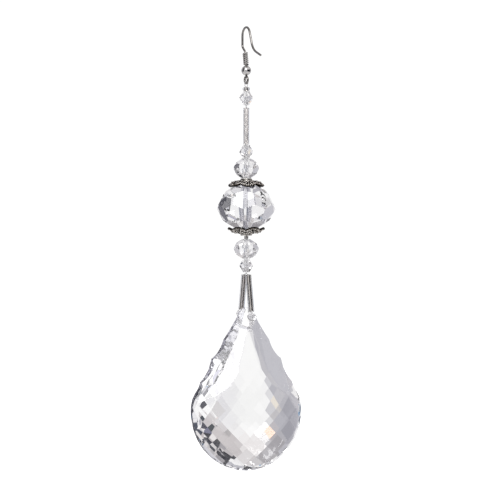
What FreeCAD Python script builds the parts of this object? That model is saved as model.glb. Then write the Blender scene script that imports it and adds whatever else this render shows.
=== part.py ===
import FreeCAD, Part
import os
import math

# Icicle hanging ornament: a fish-hook ear wire carries a strand of glass beads
# on a looped thread, and a French-cut glass pendeloque hangs below in a fork.
# Millimetres, +Z up.  The origin is the underside of the hook's crook, where
# the object hangs.  The pendeloque's front faces -Y; the hook lies in YZ with
# its tail forward (-Y).

V = FreeCAD.Vector
os.makedirs("parts", exist_ok=True)

# ---------------------------------------------------------------- hook wire
WIRE_D = 0.68            # ear-wire diameter
CROOK_R = 2.66           # crook centreline radius
BACK_CORNER = (-2.66, -5.55)   # (forward, z) where the back limb turns in
COIL_CORNER = (-0.80, -7.10)   # where it meets the coil
STEM_TOP = (0.0, -11.60)       # where the leaning stem becomes upright
EYE_C = -15.80           # eye loop centre height
EYE_R = 1.06             # eye loop centreline radius
TAIL_LEAVE = 68.0        # degrees round the crook where the tail leaves
TAIL_RUN = 5.80          # from the crook to the corner where the tail flares out
TAIL_TIP = (9.95, -8.62)
TAIL_BEND_R = 5.0

# ------------------------------------------------------------- coil and ball
COIL_WIRE_D = 0.52
COIL_PITCH = 0.61
COIL_TURNS = 6.0
BALL_D = 3.0
BALL_Z = -12.93
BALL_BORE = 0.84

# -------------------------------------------------------------------- thread
THREAD_D = 0.30          # clear nylon
THREAD_OFF = 0.165       # half spacing of the two strands
LOOP_R = 0.34 + 0.04 + THREAD_D / 2.0
FLEX_Z = -23.99          # bare thread between the top bead and the long bugle
FLEX_GAP = 0.10
FORK_Z = -74.90

# --------------------------------------------------------------------- beads
BORE_R = 0.45
SEED = (-17.95, -19.25, 2.35)            # top, bottom, diameter
TOP_BEAD = (-19.30, -23.60)              # top, bottom
LONG_BUGLE = (-24.36, -35.48, 1.84)
SECOND_BEAD = (-35.53, -39.80)
UPPER_RONDELLE = (-39.85, -45.95, 7.85)
UPPER_CAP_TOP = -46.02
BIG_C = -54.80                           # large bead centre
BIG_HALF = 6.75
BIG_R = 8.96
BIG_BORE_R = 0.85
LOWER_CAP_BOTTOM = -63.58
SPACER = (-63.63, -64.58, 1.35)
LOWER_RONDELLE = (-64.63, -70.58, 7.75)
LOWER_BEAD = (-70.63, -74.80)
CAP_R = 5.65
CAP_BORE_R = 0.80
PETALS = 6

# ---------------------------------------------------------------------- legs
LEG_TILT = 10.6                          # degrees off vertical
LEG_TOP_Y = 1.45
LEG_TOP_Z_REAR = -75.60
LEG_TOP_Z_FRONT = -75.62
LEG_BUGLE_D = 1.90
REAR_BUGLE_L = 10.60
FRONT_BUGLE_L = 11.40
REAR_BEAD_L = 3.10
FRONT_BEAD_L = 2.90
FRONT_SEED_L = 1.10
FRONT_SEED_D = 1.90
BEAD_GAP = 0.04

# ---------------------------------------------------------------- pendeloque
DROP_TOP = -85.45
DROP_BOTTOM = -135.55
BULB_C = -117.00                         # centre of the round lower bulb
BULB_R = 18.55
DOME_T = 6.54                            # half thickness at the bulb centre
DOME_K = 0.0158                          # dome curvature
DOME_KU = 0.0079                         # flatter above the centre
LAT = 3.2                                # half width of a lozenge facet
FAN_Z = -89.5                            # where the long facets gather
FAN_T = 2.20                             # half thickness there
FAN = [(0.207, 0.0), (0.268, 0.26), (0.322, 0.415)]   # rise per mm down, fall per mm sideways
CUSPS = [(2.80, -88.80), (7.39, -95.40), (11.44, -101.20), (15.26, -108.30)]   # points of the scallops
GIRDLE = 0.85                            # half thickness of the scalloped edge
EDGE_SLOPES = [0.57, 0.64, 0.76]         # its facets' rise towards the middle
HOLE_Z = -92.30
HOLE_R = 0.85
PIVOT_Z = HOLE_Z + HOLE_R - THREAD_D / 2.0 - 0.01


# ============================================================ shape helpers
def clip_polyhedron(faces, n, d, eps=1e-6):
    """Keep n.x <= d of a convex polyhedron given as vertex loops."""
    kept, cut = [], []
    for loop in faces:
        dist = [n[0] * v[0] + n[1] * v[1] + n[2] * v[2] - d for v in loop]
        if all(s >= -eps for s in dist):
            for v, s in zip(loop, dist):
                if abs(s) <= eps:
                    cut.append(v)
            continue
        out = []
        m = len(loop)
        for i in range(m):
            a, sa = loop[i], dist[i]
            b, sb = loop[(i + 1) % m], dist[(i + 1) % m]
            if sa <= eps:
                out.append(a)
                if sa >= -eps:
                    cut.append(a)
            if (sa < -eps and sb > eps) or (sa > eps and sb < -eps):
                t = sa / (sa - sb)
                p = tuple(a[k] + t * (b[k] - a[k]) for k in range(3))
                out.append(p)
                cut.append(p)
        if len(out) >= 3:
            kept.append(out)
    uniq = []
    for p in cut:
        if all(max(abs(p[k] - q[k]) for k in range(3)) > 1e-5 for q in uniq):
            uniq.append(p)
    if len(uniq) >= 3:
        c = tuple(sum(p[k] for p in uniq) / len(uniq) for k in range(3))
        ax = (1, 0, 0) if abs(n[0]) < 0.7 else (0, 1, 0)
        u = (n[1] * ax[2] - n[2] * ax[1], n[2] * ax[0] - n[0] * ax[2], n[0] * ax[1] - n[1] * ax[0])
        ul = math.sqrt(sum(x * x for x in u))
        u = tuple(x / ul for x in u)
        w = (n[1] * u[2] - n[2] * u[1], n[2] * u[0] - n[0] * u[2], n[0] * u[1] - n[1] * u[0])
        uniq.sort(key=lambda p: math.atan2(sum((p[k] - c[k]) * w[k] for k in range(3)),
                                           sum((p[k] - c[k]) * u[k] for k in range(3))))
        kept.append(uniq)
    return kept


def faceted_solid(planes, half):
    """Convex solid kept by every (normal, distance) plane inside a box."""
    (x0, x1), (y0, y1), (z0, z1) = half
    p = [(x, y, z) for x in (x0, x1) for y in (y0, y1) for z in (z0, z1)]
    faces = [[p[0], p[1], p[3], p[2]], [p[4], p[6], p[7], p[5]],
             [p[0], p[4], p[5], p[1]], [p[2], p[3], p[7], p[6]],
             [p[0], p[2], p[6], p[4]], [p[1], p[5], p[7], p[3]]]
    for n, d in planes:
        ln = math.sqrt(sum(x * x for x in n))
        faces = clip_polyhedron(faces, tuple(x / ln for x in n), d / ln)
    # shared vertices
    verts = []

    def snap(v):
        for q in verts:
            if max(abs(v[k] - q[k]) for k in range(3)) < 2e-4:
                return q
        verts.append(v)
        return v

    made = []
    for loop in faces:
        clean = []
        for v in loop:
            q = snap(v)
            if not clean or clean[-1] is not q:
                clean.append(q)
        if len(clean) > 1 and clean[0] is clean[-1]:
            clean.pop()
        if len(clean) < 3:
            continue
        pts = [V(*v) for v in clean]
        made.append(Part.Face(Part.makePolygon(pts + [pts[0]])))
    shell = Part.makeShell(made)
    shell.sewShape()
    solid = Part.makeSolid(Part.Shell(shell.Faces))
    if solid.Volume < 0:
        solid.reverse()
    return solid


def ring(n, elevation, dist, phase=0.0):
    """n planes round Z, their normals at this elevation and distance."""
    e = math.radians(elevation)
    out = []
    for i in range(n):
        a = math.radians(phase + 360.0 * i / n)
        out.append(((math.cos(a) * math.cos(e), math.sin(a) * math.cos(e), math.sin(e)), dist))
    return out


def rondelle(radius, half, bore, phase=0.0):
    """Thirty-two lozenge facets in four rows of eight, flat ends, bored."""
    k = radius / 8.96
    kh = half / 6.75
    mid = 26.0
    crown = 58.0
    cm, sm = math.cos(math.radians(mid)), math.sin(math.radians(mid))
    # the rows are placed in a bead of 8.96 x 6.75 and scaled to this one
    base = (ring(8, mid, 7.75, phase) + ring(8, -mid, 7.75, phase + 22.5)
            + ring(8, crown, 7.27, phase + 22.5) + ring(8, -crown, 7.27, phase))
    planes = []
    for n, d in base:
        m = (n[0] / k, n[1] / k, n[2] / kh)
        planes.append((m, d))
    box = ((-radius * 1.3, radius * 1.3), (-radius * 1.3, radius * 1.3), (-half, half))
    s = faceted_solid(planes, box)
    return s.cut(Part.makeCylinder(bore, 4 * half, V(0, 0, -2 * half)))


def small_bead(radius, half, bore, phase=0.0):
    """Twelve facets in two rows of six, flat ends, bored."""
    e = 28.0
    d = radius * math.cos(math.radians(e)) / 1.0718
    # keep the end faces a fixed share of the width whatever the height
    planes = []
    for n, dd in ring(6, e, d, phase) + ring(6, -e, d, phase + 30.0):
        planes.append(((n[0], n[1], n[2] * (2.10 / 2.12) * radius / half), dd))
    box = ((-radius * 1.4, radius * 1.4), (-radius * 1.4, radius * 1.4), (-half, half))
    s = faceted_solid(planes, box)
    return s.cut(Part.makeCylinder(bore, 4 * half, V(0, 0, -2 * half)))


def tube(od, length, bore, lip=0.07):
    """Bugle bead, its axis on Z from 0 down to -length, edges broken."""
    r = od / 2.0
    pts = [V(bore, 0, 0), V(r - lip, 0, 0), V(r, 0, -lip), V(r, 0, -length + lip),
           V(r - lip, 0, -length), V(bore, 0, -length), V(bore, 0, 0)]
    return Part.Face(Part.makePolygon(pts)).revolve(V(0, 0, 0), V(0, 0, 1), 360)


def seed_bead(od, length, bore):
    """Rounded seed bead centred on the origin."""
    r = od / 2.0
    h = length / 2.0
    b = min(h * 0.92, (r - bore) * 0.85)
    e1 = Part.makeLine(V(bore, 0, h), V(r - b, 0, h))
    c = math.sqrt(0.5)
    e2 = Part.Arc(V(r - b, 0, h), V(r - b + b * c, 0, h - h * (1 - c)), V(r, 0, 0)).toShape()
    e3 = Part.Arc(V(r, 0, 0), V(r - b + b * c, 0, -h + h * (1 - c)), V(r - b, 0, -h)).toShape()
    e4 = Part.makeLine(V(r - b, 0, -h), V(bore, 0, -h))
    e5 = Part.makeLine(V(bore, 0, -h), V(bore, 0, h))
    return Part.Face(Part.Wire([e1, e2, e3, e4, e5])).revolve(V(0, 0, 0), V(0, 0, 1), 360)


def path_edges(points, radii):
    """Straight runs joined by tangent arcs; radii are for the inner points."""
    edges = []
    pen = points[0]
    for i in range(1, len(points) - 1):
        p, a, b = points[i], points[i - 1], points[i + 1]
        u = (a - p).normalize()
        w = (b - p).normalize()
        turn = math.pi - u.getAngle(w)
        if turn < 1e-4 or radii[i - 1] <= 0:
            edges.append(Part.makeLine(pen, p))
            pen = p
            continue
        r = radii[i - 1]
        t = r * math.tan(turn / 2.0)
        s, e = p + u * t, p + w * t
        bis = (u + w).normalize()
        c = p + bis * (r / math.cos(turn / 2.0))
        mid = c - bis * r
        if (s - pen).Length > 1e-4:
            edges.append(Part.makeLine(pen, s))
        edges.append(Part.Arc(s, mid, e).toShape())
        pen = e
    if (points[-1] - pen).Length > 1e-4:
        edges.append(Part.makeLine(pen, points[-1]))
    return edges


def sweep(edges, r):
    """Round bar of radius r along tangent edges."""
    wire = Part.Wire(edges)
    e = edges[0]
    p = e.valueAt(e.FirstParameter)
    t = e.tangentAt(e.FirstParameter)
    first = edges[0]
    q = edges[1].valueAt(edges[1].FirstParameter) if len(edges) > 1 else e.valueAt(e.LastParameter)
    if len(edges) > 1:
        # the free end of the first edge is the one not on the second edge
        ends = [edges[1].valueAt(edges[1].FirstParameter), edges[1].valueAt(edges[1].LastParameter)]
        if min((p - k).Length for k in ends) < 1e-6:
            p = e.valueAt(e.LastParameter)
            t = e.tangentAt(e.LastParameter)
    disc = Part.Face(Part.Wire([Part.makeCircle(r, p, t)]))
    return wire.makePipe(disc)


def yz(u, z):
    """Hook plane: u forward (towards -Y)."""
    return V(0, -u, z)


def save(name, shape):
    if shape.ShapeType == "Compound" and len(shape.Solids) == 1:
        shape = shape.Solids[0]
    ok = shape.isValid()
    bb = shape.BoundBox
    print("%-22s vol %9.3f solids %d faces %3d valid %s  x %.2f..%.2f y %.2f..%.2f z %.2f..%.2f" % (
        name, shape.Volume, len(shape.Solids), len(shape.Faces), ok,
        bb.XMin, bb.XMax, bb.YMin, bb.YMax, bb.ZMin, bb.ZMax))
    shape.exportStep("parts/%s.step" % name)


# ================================================================ ear wire
wr = WIRE_D / 2.0
crook_c = (0.0, wr - CROOK_R)
a_leave = math.radians(TAIL_LEAVE)
leave = (CROOK_R * math.sin(a_leave), crook_c[1] + CROOK_R * math.cos(a_leave))
tail_corner = (leave[0] + TAIL_RUN * math.cos(a_leave), leave[1] - TAIL_RUN * math.sin(a_leave))
# eye loop: the stem swings forward, goes round the front, bottom and back
phi0 = math.radians(30.0)
eye_in = (EYE_R * math.sin(phi0), EYE_C + EYE_R * math.cos(phi0))
bend_r = 0.45
a_end = (bend_r - bend_r * math.cos(math.radians(60.0)), None)
run = (eye_in[0] - a_end[0]) / math.cos(phi0)
z_join = eye_in[1] + run * math.sin(phi0)
z_stem = z_join + bend_r * math.sin(math.radians(60.0))
phi1 = math.radians(325.0)
eye_out = (EYE_R * math.sin(phi1), EYE_C + EYE_R * math.cos(phi1))

edges = []
# eye, from its cut end round to the stem
edges.append(Part.Arc(yz(*eye_out), yz(0.0, EYE_C - EYE_R), yz(*eye_in)).toShape())
edges.append(Part.makeLine(yz(*eye_in), yz(a_end[0], z_join)))
m = math.radians(30.0)
edges.append(Part.Arc(yz(a_end[0], z_join),
                      yz(bend_r - bend_r * math.cos(m), z_stem - bend_r * math.sin(m)),
                      yz(0.0, z_stem)).toShape())
upper = path_edges([yz(0.0, z_stem), yz(*STEM_TOP), yz(*COIL_CORNER), yz(*BACK_CORNER),
                    yz(-CROOK_R, crook_c[1])], [2.0, 0.9, 1.2])
edges += upper
edges.append(Part.Arc(yz(-CROOK_R, crook_c[1]), yz(0.0, wr), yz(*leave)).toShape())
edges += path_edges([yz(*leave), yz(*tail_corner), yz(*TAIL_TIP)], [TAIL_BEND_R])
hook = sweep(edges, wr)
length = sum(e.Length for e in edges)
print("hook wire length %.2f, volume ratio %.4f" % (length, hook.Volume / (math.pi * wr * wr * length)))
tip = V(0, -TAIL_TIP[0], TAIL_TIP[1])
save("hook_wire", hook)

# coil wound on the leaning stem
lean = V(0, -COIL_CORNER[0], COIL_CORNER[1]) - V(0, -STEM_TOP[0], STEM_TOP[1])
lean.normalize()
coil_r = wr + COIL_WIRE_D / 2.0 + 0.002
helix = Part.makeHelix(COIL_PITCH, COIL_PITCH * COIL_TURNS, coil_r)
e0 = helix.Edges[0]
pipe = Part.BRepOffsetAPI.MakePipeShell(Part.Wire(helix.Edges))
pipe.setFrenetMode(True)
pipe.add(Part.Wire([Part.makeCircle(COIL_WIRE_D / 2.0, e0.valueAt(e0.FirstParameter),
                                    e0.tangentAt(e0.FirstParameter))]))
pipe.build()
pipe.makeSolid()
coil = pipe.shape()
rot = FreeCAD.Rotation(V(0, 0, 1), lean)
start = V(0, -STEM_TOP[0], STEM_TOP[1]) + lean * (COIL_WIRE_D / 2.0 + 0.22)
coil.Placement = FreeCAD.Placement(start, rot)
save("hook_coil", coil)

# ball on the upright stem
ball = Part.makeSphere(BALL_D / 2.0, V(0, 0, BALL_Z))
ball = ball.cut(Part.makeCylinder(BALL_BORE / 2.0, 6, V(0, 0, BALL_Z - 3)))
save("hook_ball", ball)

# ================================================================== thread
tr = THREAD_D / 2.0
eye_bottom = EYE_C - EYE_R


def xz(x, z):
    return V(x, 0, z)


# loop over the eye wire, then two strands down through seed bead and top bead
top_edges = []
left = path_edges([xz(-THREAD_OFF, FLEX_Z + FLEX_GAP / 2.0), xz(-THREAD_OFF, -18.05),
                   xz(-LOOP_R, eye_bottom - 0.42), xz(-LOOP_R, eye_bottom)], [0.5, 0.5])
right = path_edges([xz(LOOP_R, eye_bottom), xz(LOOP_R, eye_bottom - 0.42),
                    xz(THREAD_OFF, -18.05), xz(THREAD_OFF, FLEX_Z + FLEX_GAP / 2.0)], [0.5, 0.5])
top_edges = left + [Part.Arc(xz(-LOOP_R, eye_bottom), xz(0, eye_bottom + LOOP_R),
                             xz(LOOP_R, eye_bottom)).toShape()] + right
thread_top = sweep(top_edges, tr)
save("thread_eye_loop", thread_top)

# two strands through the beads of the strand
z_hi = FLEX_Z - FLEX_GAP / 2.0
z_lo = FORK_Z + 0.05
strands = []
for s in (-1, 1):
    strands.append(Part.makeCylinder(tr, z_hi - z_lo, V(0, s * THREAD_OFF, z_lo)))
save("thread_strand", Part.makeCompound(strands))

# ==================================================== beads on the strand
sx = (SEED[0] + SEED[1]) / 2.0
b = seed_bead(SEED[2], SEED[0] - SEED[1], BORE_R)
b.translate(V(0, 0, sx))
save("seed_bead", b)


def place_bead(shape, z_top, z_bottom, turn=0.0):
    shape.rotate(V(0, 0, 0), V(0, 0, 1), turn)
    shape.translate(V(0, 0, (z_top + z_bottom) / 2.0))
    return shape


def half_of(pair):
    return (pair[0] - pair[1]) / 2.0


save("top_bead", place_bead(small_bead(2.12, half_of(TOP_BEAD), BORE_R), TOP_BEAD[0], TOP_BEAD[1], 11))
t = tube(LONG_BUGLE[2], LONG_BUGLE[0] - LONG_BUGLE[1], BORE_R)
t.translate(V(0, 0, LONG_BUGLE[0]))
save("long_bugle", t)
save("second_bead", place_bead(small_bead(2.14, half_of(SECOND_BEAD), BORE_R), SECOND_BEAD[0], SECOND_BEAD[1], 40))
save("upper_rondelle", place_bead(rondelle(UPPER_RONDELLE[2] / 2.0, half_of(UPPER_RONDELLE), 0.55),
                                  UPPER_RONDELLE[0], UPPER_RONDELLE[1], 7))
big = rondelle(BIG_R, BIG_HALF, BIG_BORE_R)
big.rotate(V(0, 0, 0), V(0, 0, 1), 14)
big.translate(V(0, 0, BIG_C))
save("large_bead", big)
save("lower_rondelle", place_bead(rondelle(LOWER_RONDELLE[2] / 2.0, half_of(LOWER_RONDELLE), 0.55),
                                  LOWER_RONDELLE[0], LOWER_RONDELLE[1], 31))
save("lower_bead", place_bead(small_bead(2.07, half_of(LOWER_BEAD), BORE_R), LOWER_BEAD[0], LOWER_BEAD[1], 22))
b = seed_bead(SPACER[2], SPACER[0] - SPACER[1], 0.42)
b.translate(V(0, 0, (SPACER[0] + SPACER[1]) / 2.0))
save("spacer_bead", b)


# ================================================================ bead caps
def bead_cap():
    """Cast cap, hub upwards, heights from the large bead's centre."""
    top = UPPER_CAP_TOP - BIG_C
    prof = [(CAP_BORE_R, top), (1.75, top), (2.10, top - 0.35), (2.20, top - 0.95),
            (3.30, top - 1.20), (4.60, top - 1.75), (CAP_R - 0.12, top - 2.45), (CAP_R, top - 2.75),
            (CAP_R - 0.22, top - 3.05), (4.55, top - 2.55), (3.20, top - 1.92),
            (CAP_BORE_R, top - 1.70)]
    pts = [V(r, 0, z) for r, z in prof]
    pts.append(pts[0])
    body = Part.Face(Part.makePolygon(pts)).revolve(V(0, 0, 0), V(0, 0, 1), 360)
    cutters = []
    for i in range(PETALS):
        a = math.radians(360.0 * (i + 0.5) / PETALS)
        r = CAP_R + 0.55
        cutters.append(Part.makeCylinder(1.25, 8, V(r * math.cos(a), r * math.sin(a), top - 6)))
        r = 3.85
        cutters.append(Part.makeCylinder(0.34, 8, V(r * math.cos(a), r * math.sin(a), top - 6)))
        a = math.radians(360.0 * i / PETALS)
        r = 4.15
        cutters.append(Part.makeCylinder(0.55, 8, V(r * math.cos(a), r * math.sin(a), top - 6)))
    body = body.cut(cutters)
    return body


cap = bead_cap()
up = cap.copy()
up.rotate(V(0, 0, 0), V(0, 0, 1), 12)
up.translate(V(0, 0, BIG_C))
save("upper_cap", up)
low = cap.copy()
low.rotate(V(0, 0, 0), V(1, 0, 0), 180)
low.rotate(V(0, 0, 0), V(0, 0, 1), 33)
low.translate(V(0, 0, LOWER_CAP_BOTTOM + (UPPER_CAP_TOP - BIG_C)))
save("lower_cap", low)

# ===================================================================== legs
tilt = math.radians(LEG_TILT)


def leg_point(side, dist):
    """Point on a leg's axis; side is -1 in front (-Y) and +1 behind."""
    z = LEG_TOP_Z_FRONT if side < 0 else LEG_TOP_Z_REAR
    return V(0, side * (LEG_TOP_Y + math.sin(tilt) * dist), z - math.cos(tilt) * dist)


def on_leg(shape, side, dist):
    """Move a shape whose axis is Z, at height 0, to this place on a leg."""
    shape.rotate(V(0, 0, 0), V(1, 0, 0), side * LEG_TILT)
    shape.translate(leg_point(side, dist))
    return shape


save("rear_bugle", on_leg(tube(LEG_BUGLE_D, REAR_BUGLE_L, BORE_R), 1, 0.0))
save("front_bugle", on_leg(tube(LEG_BUGLE_D, FRONT_BUGLE_L, BORE_R), -1, 0.0))
d = REAR_BUGLE_L + BEAD_GAP + REAR_BEAD_L / 2.0
save("rear_small_bead", on_leg(small_bead(1.52, REAR_BEAD_L / 2.0, 0.40), 1, d))
d = FRONT_BUGLE_L + BEAD_GAP + FRONT_BEAD_L / 2.0
fb = small_bead(1.50, FRONT_BEAD_L / 2.0, 0.40)
fb.rotate(V(0, 0, 0), V(0, 0, 1), 20)
save("front_small_bead", on_leg(fb, -1, d))
d = FRONT_BUGLE_L + 2 * BEAD_GAP + FRONT_BEAD_L + FRONT_SEED_L / 2.0
save("front_seed_bead", on_leg(seed_bead(FRONT_SEED_D, FRONT_SEED_L, 0.40), -1, d))

# thread of the fork: out of the strand, down each leg and through the hole
front_end = FRONT_BUGLE_L + 2 * BEAD_GAP + FRONT_BEAD_L + FRONT_SEED_L
rear_end = REAR_BUGLE_L + BEAD_GAP + REAR_BEAD_L
mouth = 2.85
fork_top = FORK_Z - 0.05
pts = [V(0, -THREAD_OFF, fork_top), V(0, -THREAD_OFF, fork_top - 0.22), leg_point(-1, -0.12),
       leg_point(-1, front_end + 0.40), V(0, -mouth, PIVOT_Z), V(0, mouth, PIVOT_Z),
       leg_point(1, rear_end + 0.45), leg_point(1, -0.12), V(0, THREAD_OFF, fork_top - 0.22),
       V(0, THREAD_OFF, fork_top)]
rad = [0.22, 0.30, 0.38, 0.60, 0.35, 0.80, 0.30, 0.22]
fe = path_edges(pts, rad)
fork = sweep(fe, tr)
ln = sum(e.Length for e in fe)
print("fork thread length %.2f volume ratio %.4f" % (ln, fork.Volume / (math.pi * tr * tr * ln)))
save("thread_fork", fork)

# =============================================================== pendeloque
def half_planes(side):
    """Facets of one face; the half thickness is c + gx x + gz z."""
    out = []

    def add(c, gx, gz):
        out.append(((-gx, side, -gz), c))

    # lozenge facets touch a shallow dome at the points of a checkerboard
    for j in range(-6, 4):
        ku = DOME_KU if j > 0 else DOME_K
        for i in range(-6, 7):
            x, dz = i * LAT, j * LAT * math.sqrt(DOME_K / ku)
            if (i + j) % 2 or math.hypot(x, min(dz, 0.0)) > BULB_R + 1.0 or (j == 3 and abs(i) > 3):
                continue
            f = DOME_T - DOME_K * x * x - ku * dz * dz
            gx, gz = -2 * DOME_K * x, -2 * ku * dz
            add(f - gx * x - gz * (BULB_C + dz), gx, gz)
    # long facets that gather below the hole
    for s, t in FAN:
        for m in ((1, -1) if t else (1,)):
            add(FAN_T + s * FAN_Z, -t * m, -s)
    # facets that close the neck above
    for gx, gz in ((0.0, 0.34), (-0.42, 0.36), (0.42, 0.36)):
        # plane through (0, FAN_T, FAN_Z) falling away upwards
        add(FAN_T + gz * FAN_Z, gx, -gz)
    # facets along each scalloped edge
    for (ax, az), (bx, bz), rise in zip(CUSPS, CUSPS[1:], EDGE_SLOPES):
        nx, nz = -(bz - az), (bx - ax)
        ll = math.hypot(nx, nz)
        nx, nz = nx / ll, nz / ll
        q = nx * ax + nz * az
        for m in (1, -1):
            add(GIRDLE + rise * q, -rise * nx * m, -rise * nz)
    # bevel round the bulb's rim
    for k in range(0, 19):
        a = math.radians(-190.0 + 200.0 * k / 18.0)
        nx, nz = math.cos(a), math.sin(a)
        add(0.60 + 0.95 * (BULB_R + nz * BULB_C), -0.95 * nx, -0.95 * nz)
    return out


planes = half_planes(-1.0) + half_planes(1.0)
drop = faceted_solid(planes, ((-20, 20), (-9, 9), (-137, -84)))
print("drop blank", drop.isValid(), len(drop.Faces), drop.Volume)


def outline():
    """Scalloped pear outline in XZ, right half from the top, then mirrored."""
    right = [
        ("arc", (0.0, DROP_TOP), (1.75, DROP_TOP - 0.85), (2.75, -88.20)),
        ("arc", (2.75, -88.20), (4.85, -91.85), CUSPS[1]),
        ("arc", CUSPS[1], (8.75, -98.75), CUSPS[2]),
        ("arc", CUSPS[2], (12.55, -105.15), CUSPS[3]),
        ("arc", CUSPS[3], (15.60, -109.70), (16.75, -111.50)),
        ("arc", (16.75, -111.50), (18.02, -114.10), (BULB_R, BULB_C)),
        ("arc", (BULB_R, BULB_C), (BULB_R * math.cos(math.pi / 4), BULB_C - BULB_R * math.sin(math.pi / 4)),
         (0.0, BULB_C - BULB_R)),
    ]
    es = []
    for _, a, m, b in right:
        es.append(Part.Arc(V(a[0], 0, a[1]), V(m[0], 0, m[1]), V(b[0], 0, b[1])).toShape())
    for _, a, m, b in reversed(right):
        es.append(Part.Arc(V(-b[0], 0, b[1]), V(-m[0], 0, m[1]), V(-a[0], 0, a[1])).toShape())
    return Part.Wire(es)


w = outline()
prism = Part.Face(w).extrude(V(0, 20, 0))
prism.translate(V(0, -10, 0))
drop = drop.common(prism)
hole = Part.makeCylinder(HOLE_R, 20, V(0, -10, HOLE_Z), V(0, 1, 0))
drop = drop.cut(hole)
save("pendeloque", drop)
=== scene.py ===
import bpy, bmesh, math, random
from mathutils import Vector, Matrix


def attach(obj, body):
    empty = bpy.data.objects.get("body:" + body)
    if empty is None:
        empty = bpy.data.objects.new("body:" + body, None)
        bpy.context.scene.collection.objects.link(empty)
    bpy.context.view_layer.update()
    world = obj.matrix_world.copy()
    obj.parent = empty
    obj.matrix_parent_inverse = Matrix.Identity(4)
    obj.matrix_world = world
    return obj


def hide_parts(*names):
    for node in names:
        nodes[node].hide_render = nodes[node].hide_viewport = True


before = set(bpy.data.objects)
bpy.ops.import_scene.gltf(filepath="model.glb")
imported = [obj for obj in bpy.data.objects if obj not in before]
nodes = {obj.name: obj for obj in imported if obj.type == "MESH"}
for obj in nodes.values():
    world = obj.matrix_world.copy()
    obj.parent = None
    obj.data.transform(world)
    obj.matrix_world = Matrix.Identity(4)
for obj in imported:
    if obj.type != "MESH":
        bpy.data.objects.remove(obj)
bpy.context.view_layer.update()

MM = 0.001


scene = bpy.context.scene
VIEW = math.radians(-26.0)


# ============================================================ node helpers
def new_material(name):
    m = bpy.data.materials.new(name)
    m.use_nodes = True
    m.node_tree.nodes.clear()
    return m, m.node_tree


def add(nt, kind, **values):
    n = nt.nodes.new(kind)
    for k, v in values.items():
        if k in n.inputs:
            n.inputs[k].default_value = v
        else:
            setattr(n, k, v)
    return n


def math_node(nt, op, a, b=None):
    n = nt.nodes.new("ShaderNodeMath")
    n.operation = op
    for i, v in enumerate((a, b)):
        if v is None:
            continue
        if isinstance(v, (int, float)):
            n.inputs[i].default_value = v
        else:
            nt.links.new(v, n.inputs[i])
    return n.outputs[0]


def ramp(nt, fac, stops, mode="LINEAR"):
    n = nt.nodes.new("ShaderNodeValToRGB")
    cr = n.color_ramp
    cr.interpolation = mode
    while len(cr.elements) > 1:
        cr.elements.remove(cr.elements[-1])
    cr.elements[0].position = stops[0][0]
    cr.elements[0].color = (*stops[0][1], 1.0)
    for p, c in stops[1:]:
        cr.elements.new(p).color = (*c, 1.0)
    nt.links.new(fac, n.inputs["Fac"])
    return n.outputs["Color"]


def surface_noise(nt, scale, detail=2.0):
    tex = add(nt, "ShaderNodeTexCoord")
    nz = add(nt, "ShaderNodeTexNoise", Scale=scale, Detail=detail)
    nt.links.new(tex.outputs["Object"], nz.inputs["Vector"])
    return tex.outputs["Object"], nz.outputs["Fac"]


def polish_bump(nt, height, strength, distance=0.00002):
    b = add(nt, "ShaderNodeBump", Strength=strength, Distance=distance)
    nt.links.new(height, b.inputs["Height"])
    return b.outputs["Normal"]


# =============================================================== materials
def glass_material(name, ior, tint=(1.0, 1.0, 1.0), wave=0.004, scale=300.0):
    """Clear glass with faint clouding and polishing waves."""
    m, nt = new_material(name)
    out = add(nt, "ShaderNodeOutputMaterial")
    _, fac = surface_noise(nt, scale)
    g = add(nt, "ShaderNodeBsdfGlass", Roughness=0.0, IOR=ior)
    nt.links.new(ramp(nt, fac, [(0.35, tuple(0.99 * t for t in tint)), (0.65, tint)]), g.inputs["Color"])
    nt.links.new(polish_bump(nt, fac, wave), g.inputs["Normal"])
    nt.links.new(g.outputs[0], out.inputs["Surface"])
    return m


def bore_shade_material(name, ior, bore, tint):
    """Cut crystal with painted shade in its drilled bore: the glass colour is greyed where the wall is nearer the
    axis than bore.
    """
    m = glass_material(name, ior)
    nt = m.node_tree
    g = next(n for n in nt.nodes if n.type == "BSDF_GLASS")
    old = g.inputs["Color"].links[0].from_socket
    tc = add(nt, "ShaderNodeTexCoord")
    pos = add(nt, "ShaderNodeSeparateXYZ")
    nt.links.new(tc.outputs["Object"], pos.inputs[0])
    x, y = pos.outputs["X"], pos.outputs["Y"]
    rr = math_node(nt, "SQRT", math_node(nt, "ADD", math_node(nt, "MULTIPLY", x, x), math_node(nt, "MULTIPLY", y, y)))
    mix = add(nt, "ShaderNodeMixRGB")
    nt.links.new(math_node(nt, "LESS_THAN", rr, bore), mix.inputs[0])
    nt.links.new(old, mix.inputs[1])
    # painted shade: the grey glass colour of the bore wall, darkening the lines along the bore
    mix.inputs[2].default_value = (*tint, 1.0)
    nt.links.new(mix.outputs[0], g.inputs["Color"])
    return m


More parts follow.
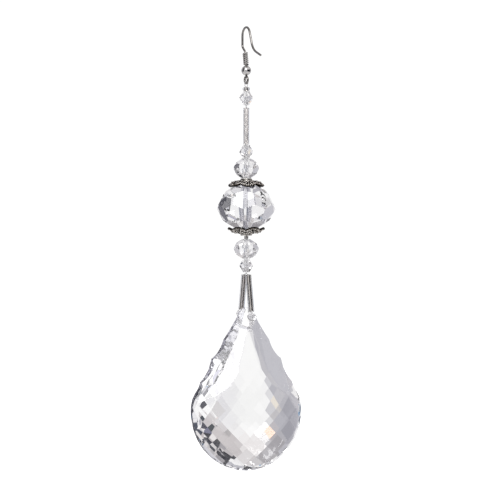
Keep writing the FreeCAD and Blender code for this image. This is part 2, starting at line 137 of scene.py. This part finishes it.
def side_shaded_drop_material(name, ior):
    """Cut crystal with painted shade on its narrow girdle: faces looking sideways, between front and back, get a
    greyer glass colour.
    """
    m = glass_material(name, ior)
    nt = m.node_tree
    g = next(n for n in nt.nodes if n.type == "BSDF_GLASS")
    old = g.inputs["Color"].links[0].from_socket
    geo = add(nt, "ShaderNodeNewGeometry")
    vt = add(nt, "ShaderNodeVectorTransform", vector_type="NORMAL", convert_from="WORLD", convert_to="OBJECT")
    nt.links.new(geo.outputs["True Normal"], vt.inputs[0])
    sep = add(nt, "ShaderNodeSeparateXYZ")
    nt.links.new(vt.outputs[0], sep.inputs[0])
    # painted shade mask: faces whose normal looks sideways
    side = math_node(nt, "LESS_THAN", math_node(nt, "ABSOLUTE", sep.outputs["Y"]), 0.03)
    # painted shade only on the scalloped upper edges, and not on the wall of the hole
    tc = add(nt, "ShaderNodeTexCoord")
    pos = add(nt, "ShaderNodeSeparateXYZ")
    nt.links.new(tc.outputs["Object"], pos.inputs[0])
    side = math_node(nt, "MULTIPLY", side, math_node(nt, "GREATER_THAN", pos.outputs["Z"], -0.1150))
    dz = math_node(nt, "ADD", pos.outputs["Z"], 0.0923)
    rr = math_node(nt, "SQRT", math_node(nt, "ADD", math_node(nt, "MULTIPLY", dz, dz), math_node(nt, "MULTIPLY", pos.outputs["X"], pos.outputs["X"])))
    side = math_node(nt, "MULTIPLY", side, math_node(nt, "GREATER_THAN", rr, 0.0010))
    mix = add(nt, "ShaderNodeMixRGB")
    nt.links.new(side, mix.inputs[0])
    nt.links.new(old, mix.inputs[1])
    # painted shade colour of the side-facing faces
    mix.inputs[2].default_value = (0.70, 0.70, 0.74, 1.0)
    nt.links.new(mix.outputs[0], g.inputs["Color"])
    return m


def lined_glass_material(name, ior, axis_point, axis, bore, lining=(0.60, 0.58, 0.55), rough=0.12, metallic=1.0):
    """Clear glass whose bore is lined: the wall nearer the axis than bore is silvered or painted."""
    m, nt = new_material(name)
    out = add(nt, "ShaderNodeOutputMaterial")
    obj, fac = surface_noise(nt, 700.0)
    g = add(nt, "ShaderNodeBsdfGlass", Roughness=0.0, IOR=ior)
    colour = ramp(nt, fac, [(0.35, (0.96, 0.97, 0.98)), (0.65, (1.0, 1.0, 1.0))])
    nt.links.new(colour, g.inputs["Color"])
    metal = add(nt, "ShaderNodeBsdfPrincipled", Metallic=metallic, Roughness=rough)
    nt.links.new(ramp(nt, fac, [(0.3, tuple(0.72 * v for v in lining)), (0.7, lining)]), metal.inputs["Base Color"])
    # distance from the bore's axis
    rel = add(nt, "ShaderNodeVectorMath", operation="SUBTRACT")
    nt.links.new(obj, rel.inputs[0])
    rel.inputs[1].default_value = axis_point
    cross = add(nt, "ShaderNodeVectorMath", operation="CROSS_PRODUCT")
    nt.links.new(rel.outputs[0], cross.inputs[0])
    cross.inputs[1].default_value = axis
    ln = add(nt, "ShaderNodeVectorMath", operation="LENGTH")
    nt.links.new(cross.outputs[0], ln.inputs[0])
    inside = math_node(nt, "LESS_THAN", ln.outputs["Value"], bore)
    mix = add(nt, "ShaderNodeMixShader")
    nt.links.new(inside, mix.inputs[0])
    nt.links.new(g.outputs[0], mix.inputs[1])
    nt.links.new(metal.outputs["BSDF"], mix.inputs[2])
    nt.links.new(mix.outputs[0], out.inputs["Surface"])
    return m


def metal_material(name, bright, dark, rough=(0.08, 0.22), scale=1500.0, wave=0.05):
    """Polished metal, slightly clouded and scuffed."""
    m, nt = new_material(name)
    out = add(nt, "ShaderNodeOutputMaterial")
    p = add(nt, "ShaderNodeBsdfPrincipled", Metallic=1.0)
    _, fac = surface_noise(nt, scale, 4.0)
    nt.links.new(ramp(nt, fac, [(0.35, dark), (0.65, bright)]), p.inputs["Base Color"])
    mr = add(nt, "ShaderNodeMapRange")
    mr.inputs["To Min"].default_value = rough[0]
    mr.inputs["To Max"].default_value = rough[1]
    nt.links.new(fac, mr.inputs["Value"])
    nt.links.new(mr.outputs["Result"], p.inputs["Roughness"])
    nt.links.new(polish_bump(nt, fac, wave), p.inputs["Normal"])
    nt.links.new(p.outputs["BSDF"], out.inputs["Surface"])
    return m


def antique_material(name):
    """Oxidised silver: near black where the relief attribute is low, rubbed bright where it is high."""
    m, nt = new_material(name)
    out = add(nt, "ShaderNodeOutputMaterial")
    p = add(nt, "ShaderNodeBsdfPrincipled", Metallic=1.0)
    _, fac = surface_noise(nt, 2600.0, 5.0)
    att = add(nt, "ShaderNodeAttribute", attribute_name="relief")
    v = math_node(nt, "ADD", att.outputs["Fac"], math_node(nt, "MULTIPLY", math_node(nt, "SUBTRACT", fac, 0.5), 0.9))
    colour = ramp(nt, v, [(0.05, (0.006, 0.005, 0.004)), (0.56, (0.022, 0.018, 0.015)), (0.76, (0.24, 0.205, 0.17)), (0.97, (0.95, 0.92, 0.87))])
    nt.links.new(colour, p.inputs["Base Color"])
    mr = add(nt, "ShaderNodeMapRange")
    mr.inputs["To Min"].default_value = 0.50
    mr.inputs["To Max"].default_value = 0.12
    nt.links.new(v, mr.inputs["Value"])
    nt.links.new(mr.outputs["Result"], p.inputs["Roughness"])
    nt.links.new(polish_bump(nt, fac, 0.35), p.inputs["Normal"])
    nt.links.new(p.outputs["BSDF"], out.inputs["Surface"])
    return m


def nylon_material(name):
    m, nt = new_material(name)
    out = add(nt, "ShaderNodeOutputMaterial")
    _, fac = surface_noise(nt, 3000.0)
    p = add(nt, "ShaderNodeBsdfPrincipled", Roughness=0.12, IOR=1.53)
    p.inputs["Transmission Weight"].default_value = 0.8
    nt.links.new(ramp(nt, fac, [(0.3, (0.78, 0.78, 0.79)), (0.7, (0.93, 0.93, 0.93))]), p.inputs["Base Color"])
    nt.links.new(p.outputs["BSDF"], out.inputs["Surface"])
    return m


LEG_TILT = math.radians(10.6)
# the grey bore tints of the large bead and the rondelles are painted shade
crystal = bore_shade_material("cut_crystal_bore_shade_look", 1.548, 0.00088, (0.80, 0.80, 0.83))
drop_crystal = side_shaded_drop_material("drop_crystal_side_shade_look", 1.548)
rondelle_bore_shaded = bore_shade_material("rondelle_bore_shade_look", 1.545, 0.00048, (0.78, 0.78, 0.80))
bead_glass = glass_material("bead_glass_look", 1.53)
tube_glass = lined_glass_material("lined_bugle_look", 1.52, (0, 0, 0), (0, 0, 1), 0.00048, (0.93, 0.895, 0.865), 0.40, 0.30)
seed_glass = lined_glass_material("lined_seed_look", 1.52, (0, 0, 0), (0, 0, 1), 0.00047)
front_leg = lined_glass_material("lined_bugle_front_look", 1.52, (0, -0.00145, -0.07562), (0, math.sin(LEG_TILT), math.cos(LEG_TILT)), 0.00048, (0.60, 0.565, 0.53), 0.03)
rear_leg = lined_glass_material("lined_bugle_rear_look", 1.52, (0, 0.00145, -0.07560), (0, -math.sin(LEG_TILT), math.cos(LEG_TILT)), 0.00048, (0.60, 0.565, 0.53), 0.03)
nylon = nylon_material("nylon_look")
# one silver painted at three brightnesses: the wire darker as painted shade, the coil lighter as painted highlight,
# the ball at its own level
wire_silver_shaded = metal_material("wire_silver_look", (0.33, 0.315, 0.30), (0.20, 0.19, 0.18), (0.07, 0.18))
coil_silver_highlit = metal_material("coil_silver_look", (0.50, 0.485, 0.47), (0.30, 0.29, 0.28), (0.07, 0.18))
ball_silver = metal_material("ball_silver_look", (0.66, 0.65, 0.64), (0.44, 0.43, 0.42), (0.03, 0.09), wave=0.02)
antique = antique_material("antique_silver_look")

looks = {"hook_wire": wire_silver_shaded, "hook_coil": coil_silver_highlit, "hook_ball": ball_silver,
         "seed_bead": seed_glass, "spacer_bead": seed_glass, "front_seed_bead": bead_glass,
         "top_bead": bead_glass, "second_bead": bead_glass, "lower_bead": bead_glass,
         "front_small_bead": bead_glass, "rear_small_bead": bead_glass,
         "long_bugle": tube_glass, "front_bugle": front_leg, "rear_bugle": rear_leg,
         "upper_rondelle": rondelle_bore_shaded, "lower_rondelle": rondelle_bore_shaded,
         "large_bead": crystal, "pendeloque": drop_crystal,
         "thread_eye_loop": nylon, "thread_strand": nylon, "thread_fork": nylon,
         "upper_cap": antique, "lower_cap": antique}
for n, o in nodes.items():
    o.data.materials[0] = looks[n]


# ============================================================ mesh helpers
class Builder:
    """Collects vertices, faces and a per-vertex relief value, in millimetres."""

    def __init__(self):
        self.v, self.f, self.relief = [], [], []

    def point(self, p, r=0.0):
        self.v.append(Vector(p))
        self.relief.append(r)
        return len(self.v) - 1

    def tube(self, path, radii, up, sides=10, closed=False, top=1.0, low=0.15):
        """Round bar along a path; up(p) gives the outward direction there, for the relief value."""
        n = len(path)
        if isinstance(radii, (int, float)):
            radii = [radii] * n
        rings = []
        prev = None
        for i, p in enumerate(path):
            a = path[i - 1] if (i > 0 or closed) else path[i]
            b = path[(i + 1) % n] if (i < n - 1 or closed) else path[i]
            t = (b - a).normalized()
            u = up(p)
            s = t.cross(u)
            if s.length < 1e-6:
                s = prev if prev is not None else Vector((1, 0, 0))
            s.normalize()
            w = s.cross(t).normalized()
            prev = s
            ring = []
            for k in range(sides):
                ang = 2 * math.pi * k / sides
                d = s * math.cos(ang) + w * math.sin(ang)
                ring.append(self.point(p + d * radii[i], low + (top - low) * max(0.0, d.dot(u)) ** 0.8))
            rings.append(ring)
        m = n if closed else n - 1
        for i in range(m):
            a, b = rings[i], rings[(i + 1) % n]
            for k in range(sides):
                self.f.append((a[k], a[(k + 1) % sides], b[(k + 1) % sides], b[k]))
        if not closed:
            for ring, p, q, flip in ((rings[0], path[0], path[1], True), (rings[-1], path[-1], path[-2], False)):
                r = radii[0] if flip else radii[-1]
                c = self.point(p + (p - q).normalized() * r * 0.6, top * 0.6)
                for k in range(sides):
                    a, b = ring[k], ring[(k + 1) % sides]
                    self.f.append((b, a, c) if flip else (a, b, c))

    def ball(self, c, r, up, squash=1.0, rows=6, cols=10, top=1.0, low=0.2):
        u = up.normalized()
        ax = Vector((1, 0, 0)) if abs(u.x) < 0.8 else Vector((0, 1, 0))
        s = ax.cross(u).normalized()
        w = u.cross(s)
        grid = []
        poles = (self.point(c - u * r * squash, low), self.point(c + u * r * squash, top))
        for i in range(1, rows):
            th = math.pi * i / rows
            ring = []
            for k in range(cols):
                ph = 2 * math.pi * k / cols
                d = (s * math.cos(ph) + w * math.sin(ph)) * math.sin(th) - u * math.cos(th) * squash
                ring.append(self.point(c + d * r, low + (top - low) * max(0.0, -math.cos(th))))
            grid.append(ring)
        for k in range(cols):
            self.f.append((poles[0], grid[0][(k + 1) % cols], grid[0][k]))
            self.f.append((poles[1], grid[-1][k], grid[-1][(k + 1) % cols]))
        for i in range(len(grid) - 1):
            for k in range(cols):
                a, b = grid[i], grid[i + 1]
                self.f.append((a[k], a[(k + 1) % cols], b[(k + 1) % cols], b[k]))

    def object(self, name, matrix, material, smooth=True):
        me = bpy.data.meshes.new(name)
        me.from_pydata([tuple((matrix @ v) * MM) for v in self.v], [], self.f)
        att = me.attributes.new("relief", "FLOAT", "POINT")
        att.data.foreach_set("value", self.relief)
        bm = bmesh.new()
        bm.from_mesh(me)
        bmesh.ops.recalc_face_normals(bm, faces=bm.faces)
        bm.to_mesh(me)
        bm.free()
        for p in me.polygons:
            p.use_smooth = smooth
        me.materials.append(material)
        o = bpy.data.objects.new(name, me)
        scene.collection.objects.link(o)
        return o


# ================================================================ bead caps
PETALS = 6
PROFILE = [(1.9, -0.80), (2.3, -0.95), (3.3, -1.22), (4.0, -1.48), (4.6, -1.80), (5.2, -2.22), (5.5, -2.50), (5.70, -2.80)]


def cap_height(r):
    if r <= PROFILE[0][0]:
        return PROFILE[0][1]
    for (a, za), (b, zb) in zip(PROFILE, PROFILE[1:]):
        if r <= b:
            return za + (zb - za) * (r - a) / (b - a)
    return PROFILE[-1][1] - (r - PROFILE[-1][0]) * 1.2


def on_cap(r, deg, lift=0.0):
    a = math.radians(deg)
    n = cap_normal(r, a)
    return Vector((r * math.cos(a), r * math.sin(a), cap_height(r))) + n * lift


def cap_normal(r, a):
    s = (cap_height(r + 0.1) - cap_height(r - 0.1)) / 0.2
    return Vector((-s * math.cos(a), -s * math.sin(a), 1.0)).normalized()


def cap_up(p):
    r = max(0.3, math.hypot(p.x, p.y))
    return cap_normal(r, math.atan2(p.y, p.x))


def petal_edge(deg):
    """Outer radius of the cap at this angle: six rounded petals with a small point."""
    t = abs(math.cos(math.radians(PETALS / 2.0 * deg)))
    return 4.30 + 1.18 * t ** 0.55


def cap_mesh():
    b = Builder()
    # pierced plate under the scrollwork, upper and lower skins with walls round every opening
    nr, na = 22, 180
    centres = []
    for i in range(PETALS):
        a = 360.0 * i / PETALS
        centres += [(4.15, a, 0.42), (3.05, a + 30.0, 0.34), (4.02, a + 30.0, 0.30), (2.72, a, 0.22)]

    def solid(r, deg):
        x, y = r * math.cos(math.radians(deg)), r * math.sin(math.radians(deg))
        for cr, ca, hr in centres:
            cx, cy = cr * math.cos(math.radians(ca)), cr * math.sin(math.radians(ca))
            if (x - cx) ** 2 + (y - cy) ** 2 < hr * hr:
                return False
        return True

    up_i, dn_i = {}, {}
    r0 = 0.86
    for k in range(na):
        deg = 360.0 * k / na
        edge = petal_edge(deg)
        for j in range(nr + 1):
            r = r0 + (edge - r0) * j / nr
            p = on_cap(r, deg)
            n = cap_normal(r, math.radians(deg))
            up_i[j, k] = b.point(p, 0.12)
            dn_i[j, k] = b.point(p - n * 0.30, 0.10)
    keep = {}
    for k in range(na):
        for j in range(nr):
            deg = 360.0 * (k + 0.5) / na
            edge = petal_edge(deg)
            keep[j, k] = solid(r0 + (edge - r0) * (j + 0.5) / nr, deg)
    for k in range(na):
        k2 = (k + 1) % na
        for j in range(nr):
            if not keep[j, k]:
                continue
            b.f.append((up_i[j, k], up_i[j + 1, k], up_i[j + 1, k2], up_i[j, k2]))
            b.f.append((dn_i[j, k], dn_i[j, k2], dn_i[j + 1, k2], dn_i[j + 1, k]))
            for jj, kk, e in ((j - 1, k, ((j, k), (j, k2))), (j + 1, k, ((j + 1, k2), (j + 1, k))),
                              (j, (k - 1) % na, ((j + 1, k), (j, k))), (j, k2, ((j, k2), (j + 1, k2)))):
                if not keep.get((jj, kk), False):
                    p, q = e
                    b.f.append((up_i[p], up_i[q], dn_i[q], dn_i[p]))
    # hub: a plain collar over a roped ring, and a ring of beads at its foot
    ring = 40
    for r, z, t in ((1.62, -0.20, 0.20), (1.72, -0.62, 0.26)):
        b.tube([Vector((r * math.cos(2 * math.pi * k / ring), r * math.sin(2 * math.pi * k / ring), z)) for k in range(ring)],
               t, lambda p: Vector((p.x, p.y, 0.8 * math.hypot(p.x, p.y))).normalized(), sides=10, closed=True, top=0.95, low=0.05)
    for k in range(12):
        a = 2 * math.pi * (k + 0.5) / 12
        c = Vector((2.22 * math.cos(a), 2.22 * math.sin(a), -0.80))
        b.ball(c, 0.30, Vector((math.cos(a) * 0.6, math.sin(a) * 0.6, 1.0)), rows=6, cols=8)
    for i in range(PETALS):
        a0 = 360.0 * i / PETALS
        # raised beaded rim of the petal
        path, rad = [], []
        for k in range(25):
            d = -27.5 + 55.0 * k / 24
            path.append(on_cap(petal_edge(a0 + d) - 0.10, a0 + d, 0.04))
            rad.append(0.24)
        b.tube(path, rad, cap_up, sides=9, top=0.8, low=0.05)
        for k in range(9):
            d = -25.0 + 50.0 * k / 8
            p = on_cap(petal_edge(a0 + d) - 0.14, a0 + d, 0.20)
            b.ball(p, 0.27 + 0.05 * (k % 2), cap_up(p), rows=6, cols=8, top=1.0, low=0.05)
        # two scrolls curling away from the petal's spine, standing well above the plate
        for s in (-1, 1):
            c = (4.20, a0 + s * 14.5)
            cp = Vector((c[0] * math.cos(math.radians(c[1])), c[0] * math.sin(math.radians(c[1]))))
            base = math.radians(a0) + math.pi
            path, rad = [], []
            for k in range(26):
                u = k / 25.0
                ang = base - s * (0.35 + u * 2.55 * math.pi)
                rr = 0.80 - 0.58 * u
                x, y = cp.x + rr * math.cos(ang), cp.y + rr * math.sin(ang)
                path.append(on_cap(math.hypot(x, y), math.degrees(math.atan2(y, x)), 0.14 + 0.30 * u))
                rad.append(0.24 - 0.05 * u)
            b.tube(path, rad, cap_up, sides=8, low=0.0)
            x, y = cp.x, cp.y
            b.ball(on_cap(math.hypot(x, y), math.degrees(math.atan2(y, x)), 0.46), 0.28, cap_up(Vector((x, y, 0))), rows=6, cols=8)
        # spine, leaf at its root, granules at the tip and between petals
        path = [on_cap(2.45 + 0.16 * k, a0, 0.10 + 0.16 * math.sin(k * 0.42)) for k in range(8)]
        b.tube(path, [0.15 + 0.03 * k for k in range(8)], cap_up, sides=8, low=0.0)
        b.ball(on_cap(3.30, a0, 0.30), 0.34, cap_up(on_cap(3.30, a0)), rows=6, cols=10)
        b.ball(on_cap(5.20, a0, 0.24), 0.36, cap_up(on_cap(5.20, a0)), rows=6, cols=10)
        b.ball(on_cap(4.40, a0 + 30.0, 0.16), 0.34, cap_up(on_cap(4.40, a0 + 30.0)), rows=6, cols=8)
        b.ball(on_cap(3.42, a0 + 30.0, 0.26), 0.36, cap_up(on_cap(3.42, a0 + 30.0)), rows=6, cols=8)
        b.ball(on_cap(4.62, a0, 0.28), 0.24, cap_up(on_cap(4.62, a0)), rows=5, cols=8)
    return b


cap = cap_mesh()
UPPER_CAP_TOP, LOWER_CAP_BOTTOM = -46.02, -63.58
m_up = Matrix.Translation((0, 0, UPPER_CAP_TOP)) @ Matrix.Rotation(math.radians(12), 4, "Z")
m_low = (Matrix.Translation((0, 0, LOWER_CAP_BOTTOM)) @ Matrix.Rotation(math.radians(33), 4, "Z")
         @ Matrix.Rotation(math.pi, 4, "X"))
for name, node, m in (("upper_cap_filigree", "upper_cap", m_up), ("lower_cap_filigree", "lower_cap", m_low)):
    o = cap.object(name, m, antique)
    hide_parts(node)
    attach(o, node)


# ==================================================================== stage
def build_stage():
    bpy.ops.mesh.primitive_plane_add(size=12.0, location=(0, 0, -0.30))
    floor = bpy.context.object
    floor.name = "floor"
    fm, nt = new_material("floor_look")
    out = add(nt, "ShaderNodeOutputMaterial")
    p = add(nt, "ShaderNodeBsdfPrincipled", Roughness=0.9)
    _, fac = surface_noise(nt, 3.0)
    nt.links.new(ramp(nt, fac, [(0.3, (0.40, 0.40, 0.40)), (0.7, (0.42, 0.42, 0.42))]), p.inputs["Base Color"])
    p.inputs["Emission Color"].default_value = (1, 1, 1, 1)
    p.inputs["Emission Strength"].default_value = 1.0
    nt.links.new(p.outputs["BSDF"], out.inputs["Surface"])
    floor.data.materials.append(fm)
    floor.visible_transmission = False
    floor.visible_glossy = False


# the studio: cards by direction; (left and right of the photo's line of sight, elevation), degrees
BASE = (0.91, 0.90, 0.91)
ZONES = [
    # az from, az to, el from, el to, softness, colour
    (-48.0, 12.0, -42.0, 18.0, 9.0, (1.0, 0.998, 0.995)),          # lit background sheet
    (-70.0, -14.0, -45.0, 20.0, 12.0, (0.80, 0.79, 0.82)),         # its falling-off right side
    (-34.0, -24.0, -7.0, 3.0, 1.5, (0.72, 0.70, 0.71)),
    (-9.0, 13.0, 13.5, 27.0, 3.0, (0.83, 0.80, 0.80)),             # its falling-off top
    (-60.0, -9.0, 9.0, 60.0, 3.0, (0.61, 0.575, 0.58)),
    (13.5, 64.0, -36.0, 60.0, 2.5, (0.49, 0.485, 0.53)),           # grey cards at the left
    (27.0, 38.0, -3.0, 24.0, 1.5, (0.39, 0.385, 0.43)),
    (18.5, 24.0, -24.0, -6.0, 1.0, (0.58, 0.57, 0.60)),
    (21.0, 64.0, -16.0, -4.0, 1.5, (0.54, 0.53, 0.57)),
    (13.5, 26.0, 15.0, 60.0, 2.0, (0.37, 0.355, 0.38)),
    (-9.0, 3.0, 27.5, 60.0, 1.5, (0.58, 0.55, 0.555)),             # grey header
    (3.0, 28.0, 27.0, 60.0, 1.5, (0.35, 0.335, 0.355)),
    (11.0, 15.0, 41.0, 49.0, 1.0, (0.50, 0.47, 0.48)),
    (-40.0, 60.0, 53.0, 66.0, 2.0, (0.03, 0.03, 0.04)),            # dark ceiling edge
    (12.0, 17.0, 8.5, 13.5, 1.5, (1.0, 0.74, 0.58)),               # warm lamp seen past the cards
    (15.0, 16.6, 8.5, 13.5, 0.6, (1.0, 0.46, 0.18)),
    (15.5, 19.5, -6.0, 0.0, 1.5, (0.86, 0.80, 0.72)),
    (-54.0, -43.0, 0.0, 11.0, 2.0, (0.03, 0.03, 0.05)),
    (76.0, 122.0, -20.0, 60.0, 4.0, (0.03, 0.03, 0.035)),          # unlit room at both sides
    (-158.0, -77.0, -22.0, 22.0, 4.0, (0.02, 0.022, 0.035)),
    (55.0, 62.0, -7.0, 8.0, 1.5, (0.12, 0.30, 0.52)),              # blue window light
    (170.0, 182.0, -37.0, -11.0, 2.0, (0.50, 0.49, 0.61)),
    (-182.0, -172.0, -37.0, -11.0, 2.0, (0.50, 0.49, 0.61)),
    (-10.5, -6.0, -28.0, -23.0, 1.0, (0.60, 0.60, 0.69)),
    # small black flags
    (-24.5, -20.3, -19.0, -15.2, 0.6, (0.09, 0.09, 0.12)),
    (-2.9, -1.1, -5.1, -3.2, 0.4, (0.05, 0.05, 0.07)),
    (-19.6, -16.0, 12.0, 17.0, 0.6, (0.04, 0.05, 0.06)),
    (-0.4, 2.4, 12.0, 14.2, 0.5, (0.06, 0.06, 0.08)),
    (8.0, 11.4, 8.0, 14.0, 0.5, (0.04, 0.05, 0.08)),
    (1.8, 4.2, 15.0, 17.2, 0.5, (0.18, 0.18, 0.26)),
    (-2.3, 0.4, 22.9, 25.2, 0.5, (0.02, 0.02, 0.03)),
    (-5.0, 5.0, 25.2, 27.2, 0.5, (0.04, 0.04, 0.05)),
    (-25.0, -15.5, 31.0, 38.5, 1.0, (0.03, 0.035, 0.05)),
    (-18.0, -11.0, 50.0, 59.0, 1.0, (0.02, 0.02, 0.03)),
    (-74.0, -67.0, 7.0, 14.0, 1.0, (0.04, 0.05, 0.08)),
    (160.5, 167.5, -3.5, 3.5, 0.8, (0.03, 0.09, 0.18)),
    (-165.0, -156.0, -26.0, -18.0, 1.0, (0.04, 0.06, 0.10)),
]


def build_world():
    w = bpy.data.worlds.new("studio")
    scene.world = w
    w.use_nodes = True
    nt = w.node_tree
    nt.nodes.clear()
    out = nt.nodes.new("ShaderNodeOutputWorld")
    lp = nt.nodes.new("ShaderNodeLightPath")
    cam = add(nt, "ShaderNodeBackground", Strength=1.05)
    cam.inputs["Color"].default_value = (1, 1, 1, 1)
    env = add(nt, "ShaderNodeBackground", Strength=1.0)
    tc = nt.nodes.new("ShaderNodeTexCoord")
    sep = nt.nodes.new("ShaderNodeSeparateXYZ")
    nt.links.new(tc.outputs["Generated"], sep.inputs[0])
    look = VIEW + math.pi / 2.0
    c, s = math.cos(look), math.sin(look)
    ahead = math_node(nt, "ADD", math_node(nt, "MULTIPLY", sep.outputs["X"], c), math_node(nt, "MULTIPLY", sep.outputs["Y"], s))
    left = math_node(nt, "ADD", math_node(nt, "MULTIPLY", sep.outputs["X"], -s), math_node(nt, "MULTIPLY", sep.outputs["Y"], c))
    az = math_node(nt, "MULTIPLY", math_node(nt, "ARCTAN2", left, ahead), 180.0 / math.pi)
    el = math_node(nt, "MULTIPLY", math_node(nt, "ARCSINE", sep.outputs["Z"]), 180.0 / math.pi)

    def step(v, at, soft):
        n = nt.nodes.new("ShaderNodeMapRange")
        n.interpolation_type = "SMOOTHSTEP"
        n.inputs["From Min"].default_value = at - soft
        n.inputs["From Max"].default_value = at + soft
        nt.links.new(v, n.inputs["Value"])
        return n.outputs["Result"]

    colour = None
    base = add(nt, "ShaderNodeRGB")
    base.outputs[0].default_value = (*BASE, 1.0)
    colour = base.outputs[0]
    for a0, a1, e0, e1, soft, col in ZONES:
        f = math_node(nt, "SUBTRACT", step(az, a0, soft), step(az, a1, soft))
        g = math_node(nt, "SUBTRACT", step(el, e0, soft), step(el, e1, soft))
        fac = math_node(nt, "MULTIPLY", f, g)
        mix = add(nt, "ShaderNodeMixRGB")
        nt.links.new(fac, mix.inputs[0])
        nt.links.new(colour, mix.inputs[1])
        mix.inputs[2].default_value = (*col, 1.0)
        colour = mix.outputs[0]
    nt.links.new(colour, env.inputs["Color"])
    mix = nt.nodes.new("ShaderNodeMixShader")
    nt.links.new(lp.outputs["Is Camera Ray"], mix.inputs[0])
    nt.links.new(env.outputs[0], mix.inputs[1])
    nt.links.new(cam.outputs[0], mix.inputs[2])
    nt.links.new(mix.outputs[0], out.inputs["Surface"])


def build_camera():
    back = Vector((math.sin(VIEW), -math.cos(VIEW), 0.0))
    right = Vector((math.cos(VIEW), math.sin(VIEW), 0.0))
    dist = 1.2
    cam_data = bpy.data.cameras.new("photo_camera")
    cam = bpy.data.objects.new("photo_camera", cam_data)
    scene.collection.objects.link(cam)
    target = Vector((0, 0, -0.06796)) + right * 0.00115
    cam.location = target + back * dist
    cam.rotation_mode = "QUATERNION"
    cam.rotation_quaternion = (-back).to_track_quat("-Z", "Y")
    cam_data.sensor_width = 36.0
    cam_data.lens = 36.0 * dist / 0.15335
    cam_data.clip_start = 0.01
    cam_data.clip_end = 50.0
    scene.camera = cam


def build_light():
    d = bpy.data.lights.new("soft_top", "AREA")
    d.shape = "RECTANGLE"
    d.size, d.size_y = 0.5, 0.5
    d.energy = 4.0
    o = bpy.data.objects.new("soft_top", d)
    scene.collection.objects.link(o)
    o.location = (-0.35, -0.65, 0.55)
    o.rotation_euler = (Vector((0, 0, -0.07)) - o.location).to_track_quat("-Z", "Y").to_euler()


build_stage()
build_world()
build_light()
build_camera()
scene.view_settings.view_transform = "Standard"
scene.view_settings.look = "None"
scene.cycles.max_bounces = 24
scene.cycles.transmission_bounces = 24
scene.cycles.glossy_bounces = 12
scene.cycles.transparent_max_bounces = 16
scene.cycles.blur_glossy = 0.0
scene.cycles.sample_clamp_indirect = 4.0

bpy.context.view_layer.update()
